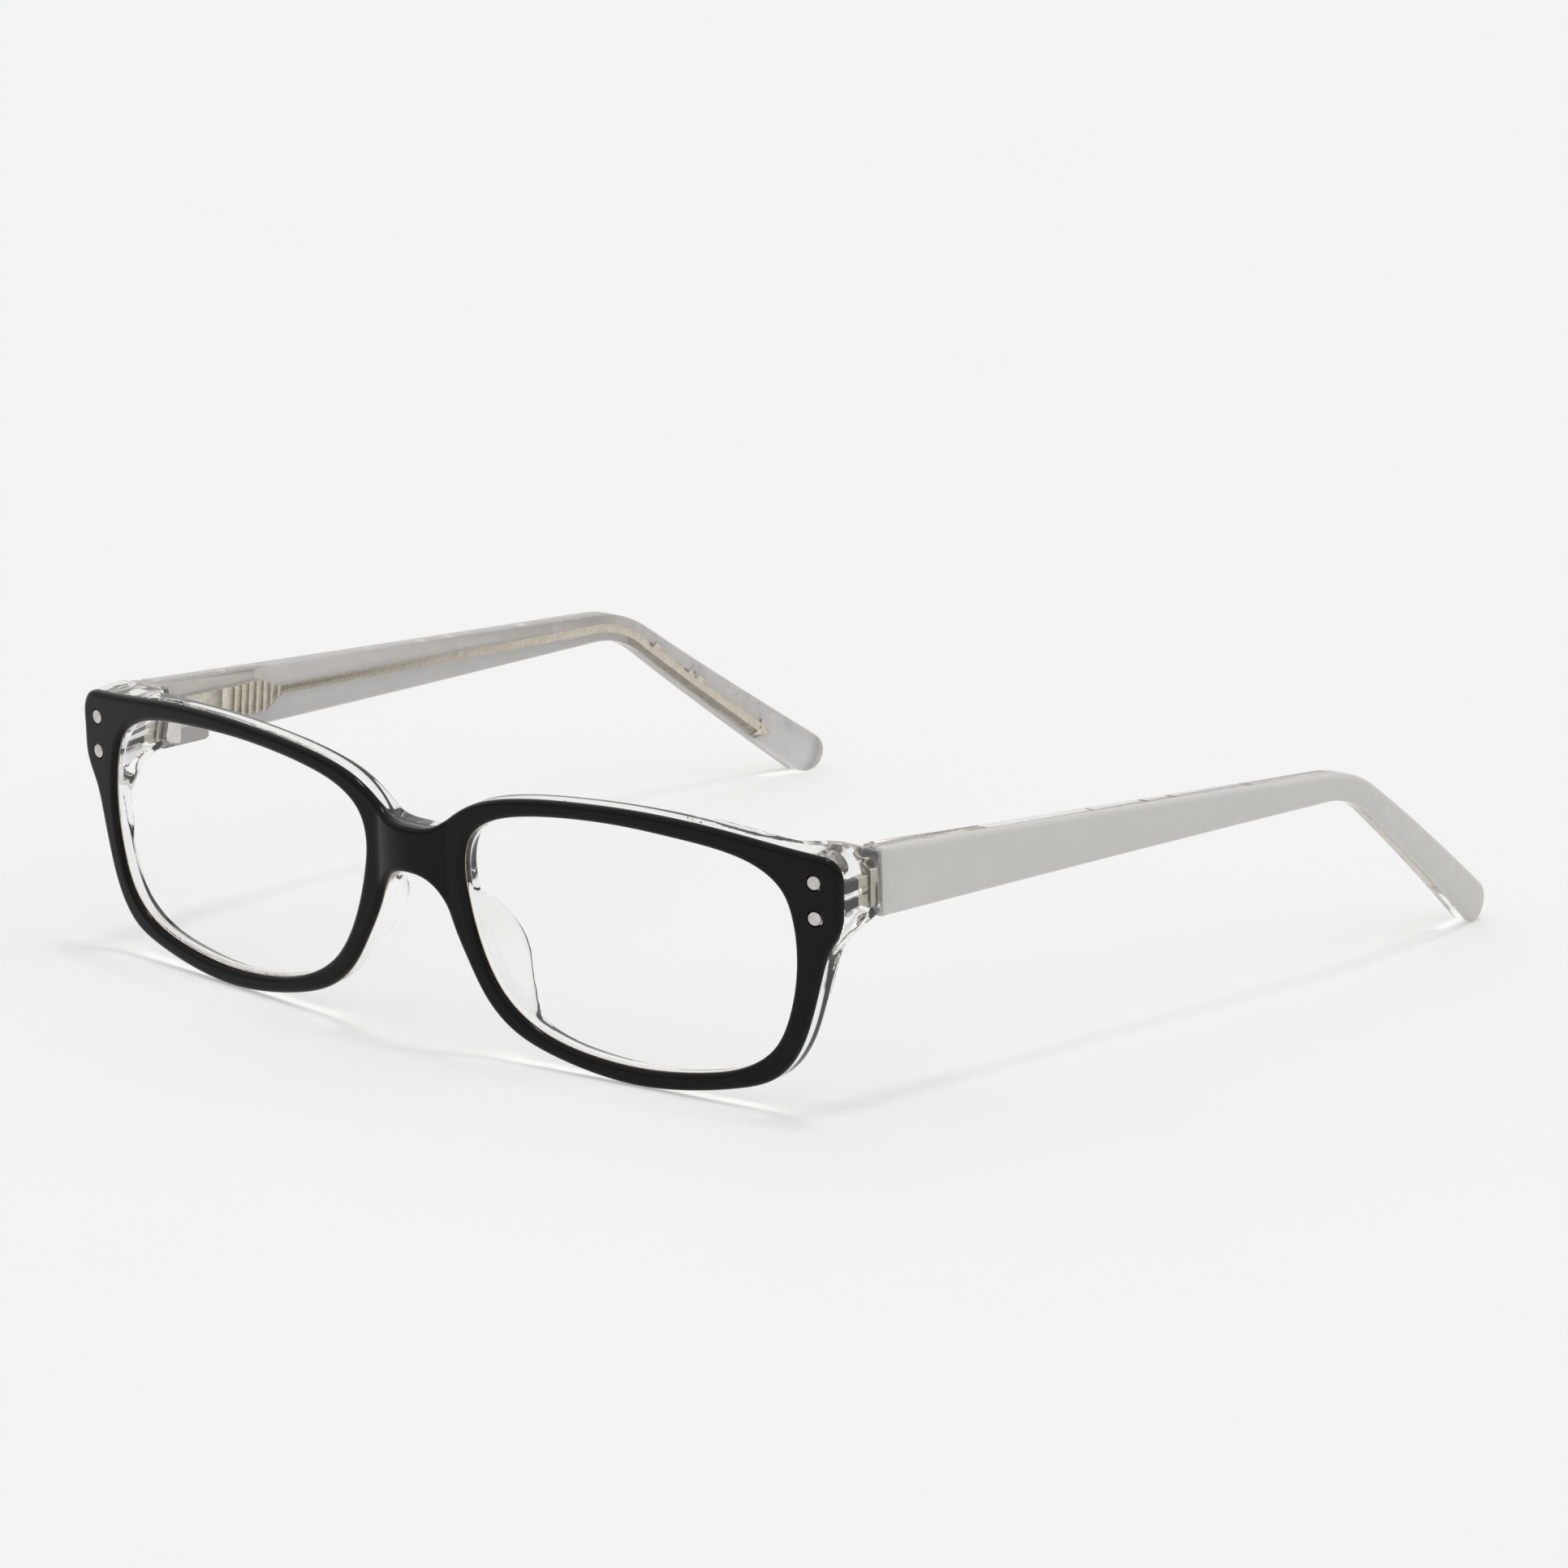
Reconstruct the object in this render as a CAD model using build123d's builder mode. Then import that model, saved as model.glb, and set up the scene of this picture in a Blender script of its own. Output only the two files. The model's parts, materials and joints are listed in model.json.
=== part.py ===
"""Eyeglasses frame: a laminated front with riveted corners, and two spring-hinged laminated temples.

Millimetres. +Z is up, +Y runs back along the temples, X = 0 is the plane of symmetry. The frame stands
open on its two lower rims and on its two temple tips, at Z = 0.

The front is described in its own leaning plane: u is sideways, v is up the front, w is depth towards
the wearer.
Every face of the front is part of a round shell about one upright axis, `front_radius` behind the bridge.
"""

import os
from math import cos, radians, sin

from build123d import *

# --- front ----------------------------------------------------------------------------------------
front_lean = 5.8            # degrees that the top of the front leans forward
front_radius = 260.0        # radius of the front face, seen from above
front_y = -77.872           # where the front's plane meets the floor
front_lift = -0.2373        # raises the front so that its lower rims touch Z = 0
black_depth = 1.0           # black face layer
clear_depth = 3.0           # clear layer behind it
rim_back = front_radius - black_depth - clear_depth
through_height = 45.0       # taller than the front, for shapes that cut it
through_depth = 30.0        # deeper than the front
below = -5.0                # a level under the rims, where such shapes start

bridge_width = 11.0         # raised pad on the bridge
bridge_radius = 12.0
bridge_centre_w = 10.7

# --- lenses ---------------------------------------------------------------------------------------
lens_thickness = 1.2
lens_stations = 40          # points that carry a grown lens outline
lens_inset = 0.6            # how deep the lens edge sits in its groove
groove_inset = 0.65
groove_width = 1.3
groove_clearance = 0.05
lens_face = front_radius - black_depth - 0.75

# --- rivets ---------------------------------------------------------------------------------------
rivet_radius = 0.95
rivet_back_w = 11.2         # how deep the rivets reach
rivet_u = 62.4
rivet_v = (31.95, 27.0)

# --- end pieces (clear lugs behind the upper outer corners) ---------------------------------------
lug_back_w = 18.6
joint_gap = 0.25            # between a lug and its temple

# --- hinge ----------------------------------------------------------------------------------------
pin_u = 59.9
pin_w = 19.95
barrel_radius = 1.3
hinge_low_v = 25.6
hinge_high_v = 31.6
knuckle_gap = 0.08
knuckles = 3
web_shift = 0.3
relief_radius = 1.5         # room round the barrel in the spring box and the temple
screw_radius = 0.68
screw_bore = 0.74
screw_head_radius = 1.05
screw_head_height = 0.45
screw_slot = 0.3
plate_outer_u = 63.4
plate_depth = 1.0
anchor_v = (27.2, 30.0)
anchor_width = 1.5
anchor_depth = 6.2
anchor_u = 61.9

# --- spring box in the temple ---------------------------------------------------------------------
box_low_z = 27.9
box_high_z = 32.7
box_inner_x = 60.75
box_outer_x = 63.2
box_back_y = 29.5
spring_axis_x = 62.0
spring_axis_z = 30.25
channel_radius = 0.95
channel_end_y = 28.3
rod_radius = 0.4
rod_end_y = 27.0
rod_head_radius = 0.85
rod_head_depth = 0.8
neck_bore_radius = 0.5
neck_y = 20.6
neck_wall = 1.2
tongue_height = 1.7
tongue_outer_x = 62.8
tongue_clearance = 0.06
tongue_slot = tongue_height + 2 * tongue_clearance
spring_wire_radius = 0.11
spring_radius = 0.66
spring_pitch = 0.62
travel = 1.2                # how far a temple pulls out against its spring

# --- temple ---------------------------------------------------------------------------------------
temple_thickness = 4.0
white_depth = 1.2
temple_top = (35.6, (119.4, 29.1), (161.3, 3.81))           # z at the front, then (y, z) of its corners
temple_bottom = (26.1, (118.9, 25.5), (157.95, -1.11))
bend_radius_top = 24.0
bend_radius_bottom = 20.0
tip_radius = 2.85
temple_plan = (             # the outer face from above: y from the front, then x
    (10.0, 64.5), (45.0, 65.0), (80.0, 65.7), (105.0, 66.4), (120.0, 66.6), (137.0, 65.2), (165.0, 60.2),
)

# --- core wire ------------------------------------------------------------------------------------
wire_depth = 0.9
wire_outer_cut = 2.0        # from the outer face of the temple to the wire
wire_width = 1.15
wire_bend_radius = 22.0
comb_length = 12.0
comb_outer_cut = 1.45       # from the outer face of the temple to the comb
comb_depth = 2.2
comb_step = 0.15
comb_groove_x = 60.6
comb_ribs = 7
comb_groove = 0.35
comb_pitch = 1.55
arrow_length = 2.6
arrow_width = 2.4
wire_end = (148.0, 7.9)
wire_bend = (119.0, 27.3)
wire_start_z = 30.4


lean = radians(front_lean)
up = Vector(0, -sin(lean), cos(lean))
back = Vector(0, cos(lean), sin(lean))
foot = Vector(0, front_y, front_lift)
face_plane = Plane(origin=foot, x_dir=(1, 0, 0), z_dir=-back)
side_plane = Plane(origin=(0, front_y, 0), x_dir=(0, 1, 0), z_dir=(1, 0, 0))
top_plane = Plane(origin=(0, front_y, 0), x_dir=(1, 0, 0), z_dir=(0, 0, 1))


def level(v):
    """The plane across the front at height v: its x is u and its y is w."""
    return Plane(origin=foot + up * v, x_dir=(1, 0, 0), z_dir=up)


def depth_at(w):
    """The plane parallel to the front at depth w: its x is u and its y is v, facing forward."""
    return Plane(origin=foot + back * w, x_dir=(1, 0, 0), z_dir=-back)


def along_side(u):
    """The plane across the front at u: its x is w and its y is v, facing +X."""
    return Plane(origin=foot + Vector(u, 0, 0), x_dir=back, z_dir=(1, 0, 0))


def place(u, v, w):
    """A point of the front's own frame, in the world."""
    return foot + Vector(u, 0, 0) + up * v + back * w


def front_outline():
    """The whole outline of the front."""
    with BuildSketch() as shape:
        with BuildLine():
            Spline(
                (0, 30.3), (3.8, 30.75), (6.8, 32.8), (10.5, 35), (16, 36.6), (26, 37.8), (38, 38.1),
                (50, 37.2), (62, 35.5),
                tangents=[(1, 0), (1, -0.16)],
            )
            Spline((62, 35.5), (64.7, 34.2), (65.7, 31.6), tangents=[(1, -0.16), (0, -1)])
            Spline((65.7, 31.6), (65.5, 26.3), (63.9, 23.1), tangents=[(0, -1), (-0.62, -1)])
            Spline(
                (63.9, 23.1), (62.4, 18.4), (61.0, 13.1), (59, 7.9), (55.7, 4), (50.4, 1.9), (43, 0.5),
                (35, 0), (28, 0.7), (21.4, 2.15), (16.1, 4.25), (12, 7.7), (8.8, 12.8), (6.4, 17.7),
                (4.6, 21.6), (2.7, 23.3), (0, 23.85),
                tangents=[(-0.5, -1), (-1, 0)],
            )
            mirror(about=Plane.YZ)
        make_face()
    return shape.sketch


def lens_edge(grow):
    """The outline of the right lens opening, grown all round by `grow`."""
    edge = Spline(
        (59.2, 20.4), (58.7, 26.6), (57.3, 30.2), (54, 32.9), (49.8, 34.3), (42.6, 35.25), (34, 35.75),
        (25.3, 35.45), (17.9, 34.45), (12.9, 32.9), (9.7, 30.4), (8.5, 26.6), (8.9, 22.3), (11.1, 14.75),
        (14.9, 8.65), (20.4, 5), (28.5, 2.95), (36.5, 2.45), (45, 3.25), (51.6, 5.1), (55.6, 8.1),
        (58.1, 13.4),
        periodic=True, mode=Mode.PRIVATE,
    )
    stations = [station / lens_stations for station in range(lens_stations)]
    outward = [(edge % t).rotate(Axis.Z, -90) for t in stations]
    return [edge @ t + side * grow for t, side in zip(stations, outward)]


def lens_openings(grow=0.0, both=True):
    """The lens openings, grown all round by `grow`: both of them, or only the right one."""
    with BuildSketch() as shape:
        with BuildLine():
            Spline(*lens_edge(grow), periodic=True)
        make_face()
        if both:
            mirror(about=Plane.YZ)
    return shape.sketch


def shell(outer_radius, inner_radius):
    """A ring about the front's upright axis, from below the rims to above them."""
    with BuildPart(mode=Mode.PRIVATE) as ring:
        with BuildSketch(level(below)):
            with Locations((0, front_radius)):
                Circle(outer_radius)
                Circle(inner_radius, mode=Mode.SUBTRACT)
        extrude(amount=through_height)
    return ring.part


def save(part, label):
    """Labels a finished piece and writes it."""
    part.label = label
    export_step(part, f"parts/{label}.step")


os.makedirs("parts", exist_ok=True)

# --- black face layer -----------------------------------------------------------------------------
with BuildPart() as rivet_bores:
    with BuildSketch(face_plane):
        with Locations(*[(side * rivet_u, v) for side in (-1, 1) for v in rivet_v]):
            Circle(rivet_radius)
    extrude(amount=-rivet_back_w)

with BuildPart() as bridge_pad:
    with BuildSketch(level(below)):
        with Locations((0, bridge_centre_w)):
            Circle(bridge_radius)
        with Locations((0, -bridge_width)):
            Rectangle(bridge_width, 2 * bridge_width + 2 * black_depth, mode=Mode.INTERSECT)
    extrude(amount=through_height)

with BuildPart() as front_black_layer:
    with BuildSketch(depth_at(below)):
        add(front_outline())
        add(lens_openings(), mode=Mode.SUBTRACT)
    extrude(amount=-through_depth)
    add(shell(front_radius, front_radius - black_depth) + bridge_pad.part, mode=Mode.INTERSECT)
    add(rivet_bores.part, mode=Mode.SUBTRACT)
save(front_black_layer.part, "front_black_layer")

# --- clear layer with its end pieces --------------------------------------------------------------
with BuildPart() as end_piece:
    with BuildSketch(level(0)):
        with BuildLine():
            Spline((65.7, 11.0), (65.5, 15.4), (64.0, lug_back_w), tangents=[(0, 1), (-1, 0.12)])
            Line((64.0, lug_back_w), (59.4, lug_back_w))
            Spline(
                (59.4, lug_back_w), (57.9, 16.9), (55.6, 12.6), (50.0, 8.6), tangents=[(-1, 0), (-1, -0.38)]
            )
            Polyline((50.0, 8.6), (50.0, 7.2), (65.7, 11.0))
        make_face()
    extrude(amount=through_height)
    with BuildSketch(along_side(45)):
        with BuildLine():
            Polyline((6, 36.6), (9.5, 36.6), (9.5, 35.5))
            Spline((9.5, 35.5), (13.5, 35.3), (lug_back_w + 1, 33.7))
            Line((lug_back_w + 1, 33.7), (lug_back_w + 1, 25.2))
            Spline((lug_back_w + 1, 25.2), (14.8, 24.9), (12.8, 23.6), (11.4, 21.5))
            Polyline((11.4, 21.5), (6, 21.5), (6, 36.6))
        make_face()
    extrude(amount=through_depth, mode=Mode.INTERSECT)
    with BuildSketch(face_plane):
        add(front_outline())
        add(lens_openings(), mode=Mode.SUBTRACT)
    extrude(amount=-through_depth, mode=Mode.INTERSECT)

with BuildPart() as clear_blank:
    with BuildSketch(face_plane):
        add(front_outline())
        add(lens_openings(), mode=Mode.SUBTRACT)
    extrude(amount=-through_depth)
    add(shell(front_radius - black_depth, rim_back), mode=Mode.INTERSECT)

with BuildPart() as groove:
    with BuildSketch(face_plane):
        add(lens_openings(groove_inset))
    extrude(amount=-through_depth)
    groove_face = lens_face + groove_clearance
    add(shell(groove_face, groove_face - groove_width), mode=Mode.INTERSECT)

# --- hinge, right side ----------------------------------------------------------------------------
with BuildPart() as anchors:
    with BuildSketch(depth_at(lug_back_w - plate_depth)):
        with Locations(*[(anchor_u, v) for v in anchor_v]):
            Rectangle(anchor_width, anchor_width)
    extrude(amount=anchor_depth)

with BuildPart() as hinge_plate:
    with BuildSketch(depth_at(lug_back_w)):
        with Locations(((pin_u - barrel_radius + plate_outer_u) / 2, (hinge_low_v + hinge_high_v) / 2)):
            Rectangle(plate_outer_u - pin_u + barrel_radius, hinge_high_v - hinge_low_v)
    extrude(amount=plate_depth)

knuckle_height = (hinge_high_v - hinge_low_v) / knuckles


def screw_hole(radius):
    """A bore on the hinge's axis through the whole hinge."""
    with BuildPart() as bore:
        with BuildSketch(level(hinge_low_v - 3)):
            with Locations((pin_u, pin_w)):
                Circle(radius)
        extrude(amount=12)
    return bore.part


with BuildPart() as hinge_front_right:
    add(hinge_plate.part)
    add(anchors.part)
    for low_v in (hinge_low_v, hinge_high_v - knuckle_height):
        with BuildSketch(level(low_v)):
            with Locations((pin_u, pin_w)):
                Circle(barrel_radius)
            with Locations((pin_u - web_shift, (pin_w + lug_back_w - plate_depth / 2) / 2)):
                Rectangle(2 * (barrel_radius - web_shift), pin_w - lug_back_w + plate_depth / 2)
        extrude(amount=knuckle_height)
    add(screw_hole(screw_bore), mode=Mode.SUBTRACT)

with BuildPart() as hinge_screw_right:
    with BuildSketch(level(hinge_low_v)):
        with Locations((pin_u, pin_w)):
            Circle(screw_radius)
    extrude(amount=hinge_high_v - hinge_low_v)
    with BuildSketch(level(hinge_high_v)):
        with Locations((pin_u, pin_w)):
            Circle(screw_head_radius)
    extrude(amount=screw_head_height)
    with BuildSketch(level(hinge_high_v + screw_head_height)):
        with Locations((pin_u, pin_w)):
            Rectangle(3 * screw_head_radius, screw_slot)
    extrude(amount=-screw_head_height / 2, mode=Mode.SUBTRACT)

pin = place(pin_u, (hinge_low_v + hinge_high_v) / 2, pin_w)
pin_y = pin.Y - front_y


def box_between(low, high):
    """A plain block between two corners, given with y counted from the front."""
    size = Vector(*high) - Vector(*low)
    middle = (Vector(*low) + Vector(*high)) / 2
    return Pos(middle.X, middle.Y + front_y, middle.Z) * Box(size.X, size.Y, size.Z, mode=Mode.PRIVATE)


def rod_between(start_y, end_y, radius):
    """A round bar on the spring's axis."""
    with BuildPart() as rod:
        start = (spring_axis_x, front_y + start_y, spring_axis_z)
        with BuildSketch(Plane(start, x_dir=(1, 0, 0), z_dir=(0, 1, 0))):
            Circle(radius)
        extrude(amount=end_y - start_y)
    return rod.part


with BuildPart() as hinge_slider_right:
    with BuildSketch(level(hinge_low_v + knuckle_height + knuckle_gap)):
        with Locations((pin_u, pin_w)):
            Circle(barrel_radius)
    extrude(amount=knuckle_height - 2 * knuckle_gap)
    add(
        box_between(
            (pin_u, pin_y - barrel_radius / 2, spring_axis_z - tongue_height / 2),
            (tongue_outer_x, neck_y - tongue_clearance, spring_axis_z + tongue_height / 2),
        )
    )
    add(
        box_between(
            (pin_u - barrel_radius, pin_y + barrel_radius, spring_axis_z - tongue_height),
            (box_inner_x, neck_y, spring_axis_z + tongue_height),
        ),
        mode=Mode.SUBTRACT,
    )
    add(rod_between(neck_y - 0.5, rod_end_y, rod_radius))
    add(rod_between(rod_end_y - rod_head_depth, rod_end_y, rod_head_radius))
    add(screw_hole(screw_bore), mode=Mode.SUBTRACT)

with BuildPart() as behind_joint:
    with BuildSketch(Plane(origin=foot + back * (lug_back_w + joint_gap), x_dir=(1, 0, 0), z_dir=back)):
        Rectangle(200, 200)
    extrude(amount=250)

with BuildPart() as hinge_relief:
    with BuildSketch(level(hinge_low_v - 1)):
        with Locations((pin_u, pin_w)):
            Circle(relief_radius)
        with Locations((pin_u - relief_radius, pin_w - relief_radius / 2)):
            Rectangle(4 * relief_radius, 3 * relief_radius)
    extrude(amount=hinge_high_v - hinge_low_v + 2)

with BuildPart() as spring_box_blank:
    add(box_between((box_inner_x, 12, box_low_z), (box_outer_x, box_back_y, box_high_z)))
    with BuildSketch(Plane(origin=foot + back * (lug_back_w + joint_gap), x_dir=(1, 0, 0), z_dir=back)):
        with Locations(((box_inner_x + box_outer_x) / 2, -(hinge_low_v + hinge_high_v) / 2)):
            Rectangle(box_outer_x - box_inner_x, hinge_high_v - hinge_low_v)
    extrude(amount=plate_depth)
    add(behind_joint.part, mode=Mode.INTERSECT)

with BuildPart() as spring_box_right:
    add(spring_box_blank.part)
    add(hinge_relief.part, mode=Mode.SUBTRACT)
    add(
        box_between(
            (box_inner_x - 2, 12, spring_axis_z - tongue_slot / 2),
            (tongue_outer_x + tongue_clearance, neck_y, spring_axis_z + tongue_slot / 2),
        ),
        mode=Mode.SUBTRACT,
    )
    add(rod_between(neck_y - 1, channel_end_y - 1, neck_bore_radius), mode=Mode.SUBTRACT)
    add(rod_between(neck_y + neck_wall, channel_end_y, channel_radius), mode=Mode.SUBTRACT)

spring_start_y = neck_y + neck_wall + spring_wire_radius + 0.05
spring_length = rod_end_y - rod_head_depth - spring_wire_radius - 0.05 - spring_start_y
with BuildPart() as hinge_spring_right:
    with BuildLine():
        coil = Helix(
            pitch=spring_pitch,
            height=spring_length,
            radius=spring_radius,
            center=(spring_axis_x, front_y + spring_start_y, spring_axis_z),
            direction=(0, 1, 0),
        )
    with BuildSketch(Plane(origin=coil @ 0, z_dir=coil % 0)):
        Circle(spring_wire_radius)
    sweep(path=coil, is_frenet=True)

# --- temple, right side ---------------------------------------------------------------------------


def temple_band(outer_cut, inner_cut):
    """A tall curved slab of the temple, between two depths inside its outer face."""
    outer = [(x - outer_cut, y) for y, x in temple_plan]
    inner = [(x - inner_cut, y) for y, x in temple_plan]
    with BuildPart() as band:
        with BuildSketch(top_plane.offset(-10)):
            with BuildLine():
                Spline(*outer)
                Line(outer[-1], inner[-1])
                Spline(*inner)
                Line(inner[0], outer[0])
            make_face()
        extrude(amount=60)
    return band.part


with BuildPart() as temple_side:
    with BuildSketch(side_plane):
        with BuildLine():
            FilletPolyline(
                (12, temple_bottom[0]), *temple_bottom[1:], *reversed(temple_top[1:]), (12, temple_top[0]),
                radius=(bend_radius_bottom, tip_radius, tip_radius, bend_radius_top),
            )
            Line((12, temple_top[0]), (12, temple_bottom[0]))
        make_face()
    extrude(amount=90)
    add(behind_joint.part, mode=Mode.INTERSECT)

comb_end_y = box_back_y + comb_length
with BuildPart() as comb:
    with BuildSketch(side_plane):
        with BuildLine():
            Polyline(
                (box_back_y, box_low_z + comb_step), (comb_end_y - 3.2, box_low_z + comb_step),
                (comb_end_y, wire_start_z - wire_width / 2), (comb_end_y, wire_start_z + wire_width / 2),
                (comb_end_y - 4.6, box_high_z - comb_step), (box_back_y, box_high_z - comb_step),
                close=True,
            )
        make_face()
    extrude(amount=90)
    add(temple_band(comb_outer_cut, comb_outer_cut + comb_depth), mode=Mode.INTERSECT)
    with BuildSketch(top_plane.offset(-10)):
        grooves = [(comb_groove_x, box_back_y + rib * comb_pitch) for rib in range(1, comb_ribs + 1)]
        with Locations(*grooves):
            Rectangle(2, comb_groove)
    extrude(amount=60, mode=Mode.SUBTRACT)

with BuildPart() as core_wire_right:
    with BuildSketch(side_plane):
        with BuildLine():
            wire_start = (comb_end_y - 1, wire_start_z)
            run = FilletPolyline(wire_start, wire_bend, wire_end, radius=wire_bend_radius)
        trace(run, line_width=wire_width)
        tip = run @ 1
        forward = run % 1
        side = Vector(-forward.Y, forward.X)
        with BuildLine():
            Polyline(
                tip - forward * 0.4 + side * arrow_width / 2, tip + forward * arrow_length,
                tip - forward * 0.4 - side * arrow_width / 2, tip + forward * 0.2, close=True,
            )
        make_face()
    extrude(amount=90)
    add(temple_band(wire_outer_cut, wire_outer_cut + wire_depth), mode=Mode.INTERSECT)
    add(comb.part)

with BuildPart() as temple_white_layer_right:
    add(temple_side.part)
    add(temple_band(0, white_depth), mode=Mode.INTERSECT)

with BuildPart() as temple_clear_layer_right:
    add(temple_side.part)
    add(temple_band(white_depth, temple_thickness), mode=Mode.INTERSECT)
    add(hinge_relief.part, mode=Mode.SUBTRACT)
    add(core_wire_right.part, mode=Mode.SUBTRACT)
    add(spring_box_blank.part, mode=Mode.SUBTRACT)

# --- clear front layer, lenses, nose pads and rivets ----------------------------------------------
with BuildPart() as hinge_seat_right:
    add(hinge_plate.part)
    add(anchors.part)
    with BuildSketch(level(hinge_low_v - 0.1)):
        with Locations((pin_u, pin_w)):
            Circle(barrel_radius + 0.1)
    extrude(amount=hinge_high_v - hinge_low_v + 1)

with BuildPart() as front_clear_layer:
    add(clear_blank.part)
    add(end_piece.part)
    mirror(end_piece.part, about=Plane.YZ)
    add(groove.part, mode=Mode.SUBTRACT)
    add(hinge_seat_right.part, mode=Mode.SUBTRACT)
    mirror(hinge_seat_right.part, about=Plane.YZ, mode=Mode.SUBTRACT)
    add(rivet_bores.part, mode=Mode.SUBTRACT)

with BuildPart() as rivets_right:
    with BuildSketch(face_plane):
        with Locations(*[(rivet_u, v) for v in rivet_v]):
            Circle(rivet_radius)
    extrude(amount=-rivet_back_w)
    add(shell(front_radius, front_radius - rivet_back_w), mode=Mode.INTERSECT)

with BuildPart() as lens_right:
    with BuildSketch(face_plane):
        add(lens_openings(lens_inset, both=False))
    extrude(amount=-through_depth)
    add(shell(lens_face, lens_face - lens_thickness), mode=Mode.INTERSECT)

with BuildPart() as nose_pad_right:
    with BuildSketch(face_plane):
        with BuildLine():
            Spline((5.0, 21.8), (7.0, 17.3), (9.6, 12.8), (12.7, 8.5), (16.6, 5.2))
            Line((16.6, 5.2), (18.0, 6.0))
            Spline((18.0, 6.0), (14.4, 8.7), (10.6, 14.7), (8.4, 22.3))
            Line((8.4, 22.3), (5.0, 21.8))
        make_face()
    extrude(amount=-through_depth)
    with BuildSketch(along_side(0)):
        with BuildLine():
            Spline((3.0, 21.9), (5.2, 21.3), (8.6, 18.2), (10.2, 14.0), (8.6, 9.6), (5.6, 6.2), (3.0, 5.0))
            Line((3.0, 5.0), (3.0, 21.9))
        make_face()
    extrude(amount=through_depth, mode=Mode.INTERSECT)
    add(shell(rim_back, rim_back - through_depth), mode=Mode.INTERSECT)

save(front_clear_layer.part, "front_clear_layer")
side_pieces = {
    "nose_pad": nose_pad_right,
    "lens": lens_right,
    "front_rivets": rivets_right,
    "hinge_front": hinge_front_right,
    "hinge_screw": hinge_screw_right,
    "hinge_slider": hinge_slider_right,
    "hinge_spring": hinge_spring_right,
    "spring_box": spring_box_right,
    "core_wire": core_wire_right,
    "temple_clear_layer": temple_clear_layer_right,
    "temple_white_layer": temple_white_layer_right,
}
for name, piece in side_pieces.items():
    save(piece.part, f"{name}_right")
    with BuildPart() as left_piece:
        mirror(piece.part, about=Plane.YZ)
    save(left_piece.part, f"{name}_left")
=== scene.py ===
"""The looks of a laminated eyeglasses frame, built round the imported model.

Lengths inside the shape functions are millimetres, and every mesh is written in metres. The front has
its own leaning frame: u is sideways, v is up the front and w is depth towards the wearer. The temples use
the model's own x, y and z, with y counted from the foot of the front.
"""

import itertools
import json
import math

import bmesh
import bpy
import numpy as np
from mathutils import Matrix, Vector
from mathutils.geometry import delaunay_2d_cdt
from mathutils.kdtree import KDTree


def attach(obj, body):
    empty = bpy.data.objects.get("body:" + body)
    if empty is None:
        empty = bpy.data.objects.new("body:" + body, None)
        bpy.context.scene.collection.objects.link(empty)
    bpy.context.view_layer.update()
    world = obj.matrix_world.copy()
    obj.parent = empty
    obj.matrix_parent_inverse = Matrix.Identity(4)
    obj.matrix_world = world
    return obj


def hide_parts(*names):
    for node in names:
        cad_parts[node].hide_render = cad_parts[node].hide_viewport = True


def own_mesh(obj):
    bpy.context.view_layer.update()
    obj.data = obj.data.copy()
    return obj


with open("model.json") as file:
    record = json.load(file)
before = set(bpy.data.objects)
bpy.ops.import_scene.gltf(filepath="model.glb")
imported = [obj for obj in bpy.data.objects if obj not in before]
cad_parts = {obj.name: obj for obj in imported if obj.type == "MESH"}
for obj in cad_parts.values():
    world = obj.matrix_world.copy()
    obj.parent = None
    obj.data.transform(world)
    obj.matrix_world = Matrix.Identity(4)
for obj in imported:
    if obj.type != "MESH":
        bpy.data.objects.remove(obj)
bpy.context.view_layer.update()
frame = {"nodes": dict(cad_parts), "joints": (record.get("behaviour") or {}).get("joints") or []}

MM = 0.001

# --- the front's own frame, from the right fold joint ---------------------------------------------
PIN_U, PIN_V, PIN_W = 59.9, 28.6, 19.95
FRONT_RADIUS = 260.0
BLACK_DEPTH = 1.0
FRONT_DEPTH = 4.0
OVERLAP = 0.02              # an opaque layer reaches this far into the clear one behind it
OUTLINE_STEP = 0.45         # spacing of the points round the rim and the openings

pin = next(joint for joint in frame["joints"] if joint["name"] == "temple_fold_right")
UP = np.array(pin["axis"], float)
BACK = np.array([0.0, UP[2], -UP[1]])
ACROSS = np.array([1.0, 0.0, 0.0])
FOOT = np.array(pin["pos_m"], float) - MM * (PIN_U * ACROSS + PIN_V * UP + PIN_W * BACK)

# --- outlines of the front: right half from the top of the bridge to its underside -----------------
FRONT_HALF = [
    (0, 30.3), (3.8, 30.75), (6.8, 32.8), (10.5, 35), (16, 36.6), (26, 37.8), (38, 38.1), (50, 37.2),
    (62, 35.6), (64.7, 34.8), (65.65, 33.1), (65.7, 30), (65.5, 26.3), (64.75, 24.3), (63.7, 22.4),
    (62.4, 18.4), (61, 13.1), (59, 7.9), (55.7, 4), (50.4, 1.9), (43, 0.5), (35, 0), (28, 0.7),
    (21.4, 2.15), (16.1, 4.25), (12, 7.7), (8.8, 12.8), (6.4, 17.7), (4.6, 21.6), (2.7, 23.3), (0, 23.85),
]
LENS_OPENING = [
    (59.2, 20.4), (58.7, 26.6), (57.3, 30.2), (54, 32.9), (49.8, 34.3), (42.6, 35.25), (34, 35.75),
    (25.3, 35.45), (17.9, 34.45), (12.9, 32.9), (9.7, 30.4), (8.5, 26.6), (8.9, 22.3), (11.1, 14.75),
    (14.9, 8.65), (20.4, 5), (28.5, 2.95), (36.5, 2.45), (45, 3.25), (51.6, 5.1), (55.6, 8.1), (58.1, 13.4),
]
RIVET_U = 62.25
RIVET_V = (32.05, 27.15)
RIVET_HOLE = 1.04

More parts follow.
